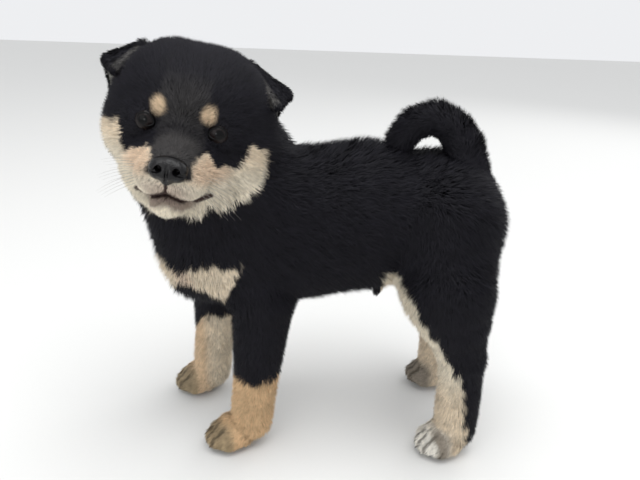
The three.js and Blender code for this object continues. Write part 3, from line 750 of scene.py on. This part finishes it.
def new_material(name, base, roughness, specular=0.5, bump=None, spots=400, clear=0.0, waver=0.13):
    """A principled material whose colour wavers a little; base None takes the painted coat."""
    material = bpy.data.materials.new(name)
    material.use_nodes = True
    nodes = material.node_tree.nodes
    links = material.node_tree.links
    shader = nodes["Principled BSDF"]
    shader.inputs["Roughness"].default_value = roughness
    shader.inputs["Specular IOR Level"].default_value = specular
    shader.inputs["Coat Weight"].default_value = clear
    shader.inputs["Coat Roughness"].default_value = 0.03
    where = nodes.new("ShaderNodeTexCoord")
    noise = add_node(nodes, "ShaderNodeTexNoise", {"Scale": spots, "Detail": 3})
    links.new(where.outputs["Object"], noise.inputs["Vector"])
    ramp = add_node(nodes, "ShaderNodeMapRange",
                    {"From Min": 0.3, "From Max": 0.7, "To Min": 1 - waver, "To Max": 1 + waver})
    links.new(noise.outputs["Fac"], ramp.inputs["Value"])
    scale = nodes.new("ShaderNodeVectorMath")
    scale.operation = "SCALE"
    links.new(ramp.outputs["Result"], scale.inputs["Scale"])
    if base is None:
        paint = nodes.new("ShaderNodeAttribute")
        paint.attribute_name = "coat"
        links.new(paint.outputs["Color"], scale.inputs[0])
    else:
        scale.inputs[0].default_value = tuple(base)
    links.new(scale.outputs["Vector"], shader.inputs["Base Color"])
    if bump is not None:
        fineness, strength, height = bump
        pebbles = add_node(nodes, "ShaderNodeTexVoronoi", {"Scale": fineness})
        links.new(where.outputs["Object"], pebbles.inputs["Vector"])
        raised = add_node(nodes, "ShaderNodeBump", {"Strength": strength, "Distance": height * MM})
        links.new(pebbles.outputs["Distance"], raised.inputs["Height"])
        links.new(raised.outputs["Normal"], shader.inputs["Normal"])
    return material


def give(thing, material):
    thing.data.materials.clear()
    thing.data.materials.append(material)


skin_coat = new_material("skin_coat", None, 0.8, 0.2, bump=(900, 0.3, 0.3))
fur = new_material("fur", None, 0.66, 0.22)
nose_leather = new_material("nose_leather_pebbled", linear(10, 9, 11), 0.28, 0.28, bump=(1100, 0.6, 0.25))
lid_leather = new_material("lid_leather", linear(5, 5, 6), 0.5, 0.16, bump=(1500, 0.4, 0.12))
eye_glass = new_material("eye_surface", None, 0.3, 0.05, spots=900, clear=0.2)
horn = new_material("claw_horn_grained", linear(46, 40, 38), 0.35, 0.5)
whisker_hair = new_material("whisker_hair", linear(150, 144, 138), 0.5, 0.4)

# The skin takes the markings dimmed to six tenths: painted shade for the skin seen deep between the tufts
skin = new_mesh("skin", skin_places, [skin_faces], None, markings(skin_places) * 0.6)
give(skin, skin_coat)

# Roots of the tufts, spread over the skin by area and by how fine the coat is there
triangles = np.concatenate([skin_faces[:, [0, 1, 2]], skin_faces[:, [0, 2, 3]]])
a, b, c = (skin_places[triangles[:, i]] for i in range(3))
areas = lengths(np.cross(b - a, c - a)) / 2
share = np.cumsum(areas * FINENESS[region[triangles[:, 0]]])
chosen = np.searchsorted(share, random.uniform(0, share[-1], TUFTS_IN_ALL))
r1 = np.sqrt(random.uniform(size=TUFTS_IN_ALL))
r2 = random.uniform(size=TUFTS_IN_ALL)
corner_share = np.stack((1 - r1, r1 * (1 - r2), r1 * r2), 1)


def at_roots(values):
    return (values[triangles[chosen]] * corner_share[:, :, None]).sum(1)


roots = at_roots(skin_places)
root_normals = rows_unit(at_roots(skin_normals))
root_lie = at_roots(lie)
root_depth = at_roots(depth[:, None])[:, 0]
root_region = region[triangles[chosen, 0]]

# Where the skin is bare, where hair parts around the eyes and where it is short
q = head_places(roots)
LID_WIDE = 5.6
LID_TALL = 4.1
length_share = np.ones(len(roots))
bare = roots[:, 2] < BARE_SOLE_LEVEL
length_share *= 0.45 + 0.55 * smooth_step(2, 11, roots[:, 2])
for s in (1, -1):
    across = q[:, 1] - EYE_SIDE * s
    upward = q[:, 2] - EYE_LEVEL
    ring = np.hypot(across / LID_WIDE, upward / LID_TALL)
    in_front = q[:, 0] > -6
    bare |= (ring < 1.02) & in_front
    close = (1 - smooth_step(1.1, 2.3, ring)) * in_front
    radial = rows_unit(np.outer(across / LID_WIDE, HEAD[1]) + np.outer(upward / LID_TALL, HEAD[2]))
    root_lie += radial * (close * 1.6)[:, None]
    length_share *= 1 - 0.68 * close
nose_away = lengths((q - np.array((34.5, 0, -19.5))) / np.array((7.0, 10.2, 7.3)))
bare |= nose_away < 1.0
length_share *= 0.45 + 0.55 * smooth_step(1.0, 2.0, nose_away)
mouth_away = from_mouth(q)
bare |= mouth_away < 0.4
length_share *= 0.4 + 0.6 * smooth_step(0.4, 5.0, mouth_away)
# Shorter hair round the hole under the curl of the tail
in_loop = TAIL_LOOP - roots
towards_loop = (rows_unit(in_loop) * root_normals).sum(1) * (lengths(in_loop) < 20)
length_share *= 1 - 0.4 * smooth_step(0.2, 0.8, towards_loop)
kept = ~bare
roots, root_normals, root_lie, root_depth, root_region, length_share, q = (
    x[kept] for x in (roots, root_normals, root_lie, root_depth, root_region, length_share, q))
count = len(roots)

# The shape of each tuft
lifts = np.radians(np.stack((ROOT_LIFT, TIP_LIFT), 1))[root_region]
widths = WIDTH[root_region]
rise = np.sin(lifts).mean(1)
tuft_length = root_depth * TUFT_REACH / rise * length_share * random.uniform(0.8, 1.16, count)
in_ear = inside_ear(q) * smooth_step(-0.1, 0.3, root_normals @ HEAD[0])
tuft_length = np.minimum(tuft_length, LONGEST[root_region] * random.uniform(0.8, 1.1, count))
tuft_length *= 1 - 0.4 * in_ear

# Locks: tufts turn with slow ripples and their tips draw together
sway = Ripple(26)
small_sway = Ripple(8)
lie_now = rows_unit(root_lie - root_normals * (root_lie * root_normals).sum(1)[:, None])
sideways = rows_unit(np.cross(root_normals, lie_now))
calm = np.where(np.isin(root_region, SHORT_HAIRED), 0.45, 1.0)
turn = (0.1 * sway.at(roots) + 0.08 * small_sway.at(roots)) * calm + random.normal(0, 0.3, count)
lie_now = lie_now * np.cos(turn)[:, None] + sideways * np.sin(turn)[:, None]
sideways = rows_unit(np.cross(root_normals, lie_now))
stand = lifts * random.uniform(0.75, 1.25, (count, 1)) + (0.03 * sway.at(roots + 50) * calm)[:, None]


def along(angle):
    return lie_now * np.cos(angle)[:, None] + root_normals * np.sin(angle)[:, None]


middles = roots + along(stand[:, 0]) * (tuft_length * 0.5)[:, None]
tips = middles + along(stand[:, 1]) * (tuft_length * 0.5)[:, None]

# Each lock gathers the tips that are nearest to its middle tuft
locks = random.choice(count, count // TUFTS_PER_LOCK, replace=False)
tree = KDTree(len(locks))
for i, place in enumerate(tips[locks]):
    tree.insert(place, i)
tree.balance()
own_lock = locks[[tree.find(place)[1] for place in tips]]
gather = (LOCK_GATHER * calm * random.uniform(0.2, 1.0, count))[:, None]
tips += (tips[own_lock] - tips) * gather
middles += (middles[own_lock] - middles) * gather * 0.22
for places in (middles, tips):
    places[:, 2] = np.maximum(places[:, 2], SOLE_LEVEL)

twist = random.normal(0, 0.5, count)
flat = sideways * np.cos(twist)[:, None] + root_normals * np.sin(twist)[:, None]
half = (widths * random.uniform(0.7, 1.25, count) / 2)[:, None] * flat
sunk = roots - root_normals * ROOT_DEPTH

# Colour of each tuft: the markings near its tip and a shade of its own, with painted shade that darkens it
# towards the root and painted light that brightens its tip
shade = 1 + random.normal(0, 0.08, count) + 0.04 * Ripple(5).at(tips) + 0.05 * Ripple(18).at(tips)
paint = markings(middles * 0.4 + tips * 0.6)
paint = mix(paint, EAR_HAIR, in_ear * random.uniform(0.25, 0.95, count))
pale = smooth_step(0.05, 0.35, paint.mean(1))
paint = paint * np.clip(shade, 0.6, 1.5)[:, None]
root_painted_shade = (0.55 + 0.2 * pale)[:, None]
tip_painted_light = (1.06 + 0.04 * pale)[:, None]

PIECES = ["head_left", "head_right", "ears", "neck", "chest", "barrel", "rump", "tail", "foreleg_left",
          "foreleg_right", "hind_leg_left", "hind_leg_right", "paws"]
PIECE_OF_REGION = {"head": "head_left", "ear": "ears", "foreleg": "foreleg_left", "thigh": "hind_leg_left",
                   "paw": "paws"}
root_piece = np.array([PIECES.index(PIECE_OF_REGION.get(name, name)) for name in REGIONS])[root_region]
on_right = {"head": q[:, 1] < 0, "foreleg": roots[:, 0] < 3, "thigh": roots[:, 0] < -4}
for name, right in on_right.items():
    root_piece[(root_region == REGIONS.index(name)) & right] += 1


# The unwrap of each piece: around an axis, or around a middle
UP = np.array((0, 0, 1.0))
RIGHTWARDS = np.array((1.0, 0, 0))
BACKWARDS = np.array((0, 1.0, 0))
# A middle, an axis and the way that the unwrap starts from, and for an axis its length
ROUND_PIECES = {"neck": ((12, -64, 176.0), UP, BACKWARDS),
                "chest": ((4, -34, 150.0), UP, BACKWARDS),
                "rump": ((-4, 72, 150.0), BACKWARDS, UP),
                "tail": ((-2, 72, 200.0), RIGHTWARDS, UP)}
LONG_PIECES = {"barrel": ((-3, 10, 159.0), BACKWARDS, UP, 75),
               "foreleg_left": ((37, -45, 20.0), UP, RIGHTWARDS, 135),
               "foreleg_right": ((-28, -78, 20.0), UP, RIGHTWARDS, 135),
               "hind_leg_left": ((38, 84, 20.0), UP, RIGHTWARDS, 135),
               "hind_leg_right": ((-47, 85, 20.0), UP, RIGHTWARDS, 135)}
# A patch's size on the unwrap, and the share of it that stays free at each edge
PATCH = 0.003
MARGIN = 0.015


def around_axis(p, middle, axis, ahead, length):
    side = np.cross(axis, ahead)
    away = p - middle
    turn = np.arctan2(away @ side, away @ ahead) / (2 * math.pi) + 0.5
    return np.stack((turn, np.clip((away @ axis) / length, 0, 1)), 1)


def around_middle(p, middle, axis, ahead):
    away = rows_unit(p - middle)
    side = np.cross(axis, ahead)
    turn = np.arctan2(away @ side, away @ ahead) / (2 * math.pi) + 0.5
    return np.stack((turn, np.arccos(np.clip(away @ axis, -1, 1)) / math.pi), 1)


def in_cell(uv, column=0, row=0, columns=1, rows=1):
    return (uv * (1 - 2 * MARGIN) + MARGIN + np.array((column, row))) / np.array((columns, rows))


def unwrap_head(p):
    """Half a turn around the middle of the head fills the whole width."""
    uv = around_middle(p, on_head(-16, 0, -8), HEAD[0], HEAD[2])
    uv[:, 0] = (uv[:, 0] * 2) % 1
    return in_cell(uv)


def unwrap_ears(q):
    """Each face of each ear lies flat in its own quarter."""
    behind = q[:, 0] < -30 + 0.35 * (q[:, 2] - 20)
    flat = np.stack((np.abs(q[:, 1]) - 22, q[:, 2] - 2), 1) / np.array((36, 44))
    quarter = np.stack((q[:, 1] > 0, behind), 1)
    return (np.clip(flat, 0, 1) * (1 - 2 * MARGIN) + MARGIN + quarter) / 2


def unwrap_paws(p):
    """Each paw is unwrapped around its own middle, in its own quarter."""
    uv = np.zeros((len(p), 2))
    nearest = np.argmin([lengths(p - np.array(c)) for c, *_ in PAWS.values()], 0)
    for i, (centre, ahead, length, width) in enumerate(PAWS.values()):
        mine = nearest == i
        own = around_middle(p[mine], np.array(centre) + UP * 8, UP, -ahead)
        uv[mine] = in_cell(own, i % 2, i // 2, 2, 2)
    return uv


def unwrap(piece, p, q):
    if piece in ROUND_PIECES:
        middle, axis, ahead = ROUND_PIECES[piece]
        return in_cell(around_middle(p, np.array(middle), axis, ahead))
    if piece in LONG_PIECES:
        start, axis, ahead, length = LONG_PIECES[piece]
        return in_cell(around_axis(p, np.array(start), axis, ahead, length))
    if piece == "ears":
        return unwrap_ears(q)
    if piece == "paws":
        return unwrap_paws(p)
    return unwrap_head(p)


coat_pieces = []
for number, piece in enumerate(PIECES):
    mine = np.where(root_piece == number)[0]
    n = len(mine)
    places = np.stack((sunk[mine] - half[mine], sunk[mine] + half[mine], middles[mine] - half[mine],
                       middles[mine] + half[mine], tips[mine]), 1).reshape(-1, 3)
    first = np.arange(n)[:, None] * 5
    lower = first + np.array((0, 1, 3, 2))
    upper = first + np.array((2, 3, 4))
    geometric = np.cross(places[lower[:, 1]] - places[lower[:, 0]], places[lower[:, 2]] - places[lower[:, 0]])
    inward = (geometric * root_normals[mine]).sum(1) < 0
    lower[inward] = lower[inward][:, ::-1]
    upper[inward] = upper[inward][:, ::-1]
    normals = rows_unit(root_normals[mine] + random.normal(0, 0.2, (n, 3)))
    tip_normals = rows_unit(normals + lie_now[mine] * 0.25)
    all_normals = np.stack((normals, normals, normals, normals, tip_normals), 1).reshape(-1, 3)
    own = paint[mine]
    # Root to tip: painted shade on the root corners, painted light on the tip
    colours = np.stack((own * root_painted_shade[mine], own * root_painted_shade[mine], own, own, own * tip_painted_light[mine]), 1)
    thing = new_mesh("coat_" + piece, places, [lower, upper], all_normals, colours.reshape(-1, 3))
    corner = np.array(((0, 0), (1, 0), (0, 0.5), (1, 0.5), (0.5, 1)))
    uv = unwrap(piece, roots[mine], q[mine])
    spots = (uv[:, None, :] + (corner - 0.5) * PATCH).reshape(-1, 2)
    loops = np.concatenate((lower.ravel(), upper.ravel()))
    layer = thing.data.uv_layers.new(name="OFBake")
    layer.uv.foreach_set("vector", np.clip(spots[loops], 0.001, 0.999).astype(np.float32).ravel())
    give(thing, fur)
    coat_pieces.append(thing)


def ring_faces(rings, turns):
    """Four-sided faces between rings of vertices that lie one after another."""
    ring, step = np.meshgrid(np.arange(rings - 1), np.arange(turns), indexing="ij")
    here = (ring * turns + step).ravel()
    beside = (ring * turns + (step + 1) % turns).ravel()
    return np.stack((here, here + turns, beside + turns, beside), 1)


# Eyes: a ball with a clear bulge, a dark iris and a round pupil, painted by angle from its axis
def eye_mesh(name, s):
    centre = on_head(-1.5, EYE_SIDE * s, 0.3)
    axis = unit(HEAD[0] + HEAD[1] * 0.16 * s + HEAD[2] * -0.02)
    side = unit(np.cross(HEAD[2], axis))
    up = np.cross(axis, side)
    rings = 48
    turns = 64
    angle = np.linspace(0, math.pi, rings)
    bulge = 0.5 * np.exp(-(angle / 0.55) ** 4)
    iris_edge = 0.72
    pupil_edge = 0.3
    places = []
    colours = []
    around = np.linspace(0, 2 * math.pi, turns, endpoint=False)
    for a, extra in zip(angle, bulge):
        ring = np.outer(np.cos(around), side) + np.outer(np.sin(around), up)
        places.append(centre + (EYE_RADIUS + extra) * (axis * math.cos(a) + ring * math.sin(a)))
        outer = smooth_step(iris_edge, iris_edge + 0.08, np.full(turns, a))
        dark = smooth_step(pupil_edge + 0.04, pupil_edge, np.full(turns, a))
        streaks = 1 + 0.18 * np.sin(around * 23 + 1.5 * np.sin(around * 7))
        edge = 1 - 0.7 * smooth_step(0.55, iris_edge, np.full(turns, a))
        colour = mix(IRIS * (streaks * edge)[:, None], PUPIL, dark)
        colours.append(mix(colour, EYE_EDGE, outer))
    faces = ring_faces(rings, turns)
    ball_piece = new_mesh(name, np.concatenate(places), [faces], None, np.concatenate(colours))
    give(ball_piece, eye_glass)
    return ball_piece


# Lids: a rounded dark rim around an almond opening, over the ball. Each row across the rim has
# its stretch from the opening, its distance from the middle of the eye and how far back it is
LID_ROWS = ((0.94, 8.5, 0), (1.0, 8.75, 0), (1.07, 8.95, 0),
            (1.15, 9.0, 0.3), (1.28, 9.0, 1.4), (1.45, 9.0, 4.0))


def lid_mesh(name, s):
    centre = on_head(-1.5, EYE_SIDE * s, 0.3)
    axis = HEAD[0]
    outward = HEAD[1] * s
    up = HEAD[2]
    turns = 72
    around = np.linspace(0, 2 * math.pi, turns, endpoint=False)
    wide = np.cos(around)
    tall = np.sin(around)
    x = 4.4 * wide
    y = np.where(tall > 0, 3.3, 2.7) * np.abs(tall) ** 1.15 * np.sign(tall) + 0.16 * x
    places = []
    for stretch, radius, back in LID_ROWS:
        px = x * stretch
        py = y * stretch + (stretch - 1) * np.sign(tall) * 1.2
        ahead = np.sqrt(np.maximum(radius ** 2 - px ** 2 - py ** 2, 1.0)) - back
        places.append(centre + np.outer(px, outward) + np.outer(py, up) + np.outer(ahead, axis))
    faces = ring_faces(len(LID_ROWS), turns)
    rim = new_mesh(name, np.concatenate(places), [faces if s > 0 else faces[:, ::-1]])
    give(rim, lid_leather)
    return rim


eyes = {"left": eye_mesh("eyeball_left", 1), "right": eye_mesh("eyeball_right", -1)}
lids = {"left": lid_mesh("lids_left", 1), "right": lid_mesh("lids_right", -1)}


# Nose leather: a broad pad with comma nostrils and a groove down the middle
def nose_field(p):
    q = head_places(p)
    q[:, 1] = np.abs(q[:, 1])
    pad = lengths((q - np.array((34.2, 0, -19.2))) / np.array((6.2, 8.6, 6.4)))
    pad = (pad - 1) * 6.2
    wing = lengths((q - np.array((34.2, 5.6, -20.2))) / np.array((6.0, 4.6, 5.6)))
    shape = blended(pad, (wing - 1) * 4.8, 2.0)
    foot = cone_distance(q, np.array((36.0, 0, -22.5)), np.array((32.0, 0, -28.0)), 4.6, 2.6)
    shape = blended(shape, foot, 2.5)
    hole = cone_distance(q, np.array((40.5, 4.6, -19.8)), np.array((35.5, 5.0, -19.6)), 2.0, 1.2)
    slit = cone_distance(q, np.array((39.5, 5.6, -21.2)), np.array((36.5, 10.6, -21.6)), 1.0, 0.7)
    groove = cone_distance(q, np.array((40.8, 0, -17.5)), np.array((40.4, 0, -22.0)), 0.7, 0.8)
    lower_groove = cone_distance(q, np.array((40.4, 0, -22.0)), np.array((34.5, 0, -31.0)), 0.8, 0.7)
    cuts = np.minimum(blended(hole, slit, 1.2), np.minimum(groove, lower_groove))
    return -blended(-shape, cuts, 0.8)


nose_box = np.array([on_head(f, l, u) for f in (22, 46) for l in (-14, 14) for u in (-36, -8)])
nose_axes = [np.arange(nose_box[:, i].min(), nose_box[:, i].max() + NOSE_STEP, NOSE_STEP) for i in range(3)]
nose_grid = np.stack([x.ravel() for x in np.meshgrid(*nose_axes, indexing="ij")], 1)
nose_values = nose_field(nose_grid).reshape([len(axis) for axis in nose_axes])
nose_places, nose_faces = surface_net(nose_values, nose_axes)
nose_places = smoothed(nose_places, nose_faces, 1, 0.5)
nose = new_mesh("nose_pad", nose_places, [nose_faces])
give(nose, nose_leather)


# Whiskers: fine tapered bristles in rows from the lips
BRISTLE_RINGS = 7
BRISTLE_SIDES = 4


def bristle(start, ahead, droop, length, thick):
    steps = np.linspace(0, 1, BRISTLE_RINGS)
    line = start + np.outer(steps * length, ahead) + np.outer(steps ** 2 * length * 0.3, droop)
    side = unit(np.cross(ahead, droop))
    other = unit(np.cross(side, ahead))
    around = np.linspace(0, 2 * math.pi, BRISTLE_SIDES, endpoint=False)
    ring = np.outer(np.cos(around), side) + np.outer(np.sin(around), other)
    radius = thick * (1 - 0.85 * steps)
    return (line[:, None, :] + radius[:, None, None] * ring[None]).reshape(-1, 3)


bristles = []
for s in (1, -1):
    for row in range(3):
        for i in range(4):
            start = on_head(20 - 4 * i, (9.5 + 1.6 * i) * s, -24 - 2.6 * row + 0.4 * i)
            ahead = unit(HEAD[0] * (0.1 - 0.12 * i) + HEAD[1] * s * 1.0 + HEAD[2] * (0.12 - 0.22 * row))
            bristles.append(bristle(start, ahead, -HEAD[2] - HEAD[0], 24 + 2.2 * i + row, 0.2))
one_bristle = ring_faces(BRISTLE_RINGS, BRISTLE_SIDES)[:, ::-1]
bristle_faces = [one_bristle + BRISTLE_RINGS * BRISTLE_SIDES * i for i in range(len(bristles))]
whiskers = new_mesh("whiskers", np.concatenate(bristles), [np.concatenate(bristle_faces)])
give(whiskers, whisker_hair)

# Claws stay as they came, in a grained horn
for name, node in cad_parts.items():
    if name.startswith("claw"):
        give(node, horn)

# What stands for what
flesh = [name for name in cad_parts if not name.startswith(("claw", "eye", "nose"))]
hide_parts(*flesh)
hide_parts("eye_left")
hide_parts("eye_right")
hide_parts("nose")
for piece in [skin, nose, whiskers, *coat_pieces, *eyes.values(), *lids.values()]:
    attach(piece, "root")

# Floor, light and camera
floor_material = new_material("floor_pale", linear(226, 226, 224), 0.8, 0.1, waver=0.004)
bpy.ops.mesh.primitive_plane_add(size=8, location=(0, 0, 0))
floor = bpy.context.object
floor.name = "floor"
give(floor, floor_material)

world = bpy.data.worlds.new("studio")
bpy.context.scene.world = world
world.use_nodes = True
world.node_tree.nodes["Background"].inputs["Color"].default_value = (0.95, 0.96, 0.98, 1)
world.node_tree.nodes["Background"].inputs["Strength"].default_value = 0.9
bpy.context.scene.view_settings.view_transform = "Standard"


def soft_light(name, place, size, power):
    data = bpy.data.lights.new(name, "AREA")
    data.size = size
    data.energy = power
    light = bpy.data.objects.new(name, data)
    light.location = place
    back = unit(np.array(place) - np.array((0, 0, 0.12)))
    side = unit(np.cross((0, 0, 1), back) if abs(back[2]) < 0.99 else (1, 0, 0))
    towards = Matrix(np.stack((side, np.cross(back, side), back), 1).tolist())
    light.rotation_euler = towards.to_euler()
    bpy.context.scene.collection.objects.link(light)


soft_light("overhead", (0.3, 0.1, 1.4), 1.0, 11)
soft_light("front", (1.2, -0.8, 0.8), 1.0, 3)
soft_light("behind", (-1.1, 0.9, 0.9), 1.0, 4)
soft_light("catch", (1.3, -0.3, 0.4), 0.3, 1.5)

camera_data = bpy.data.cameras.new("camera")
camera_data.lens = CAMERA_LENS
camera_data.sensor_width = CAMERA_SENSOR
camera = bpy.data.objects.new("camera", camera_data)
ahead = unit(CAMERA_AHEAD)
rightwards = unit(CAMERA_RIGHT)
above = np.cross(rightwards, ahead)
turned = Matrix(np.stack((rightwards, above, -ahead), 1).tolist()).to_4x4()
turned.translation = CAMERA_PLACE
camera.matrix_world = turned
bpy.context.scene.collection.objects.link(camera)
bpy.context.scene.camera = camera

bpy.context.view_layer.update()
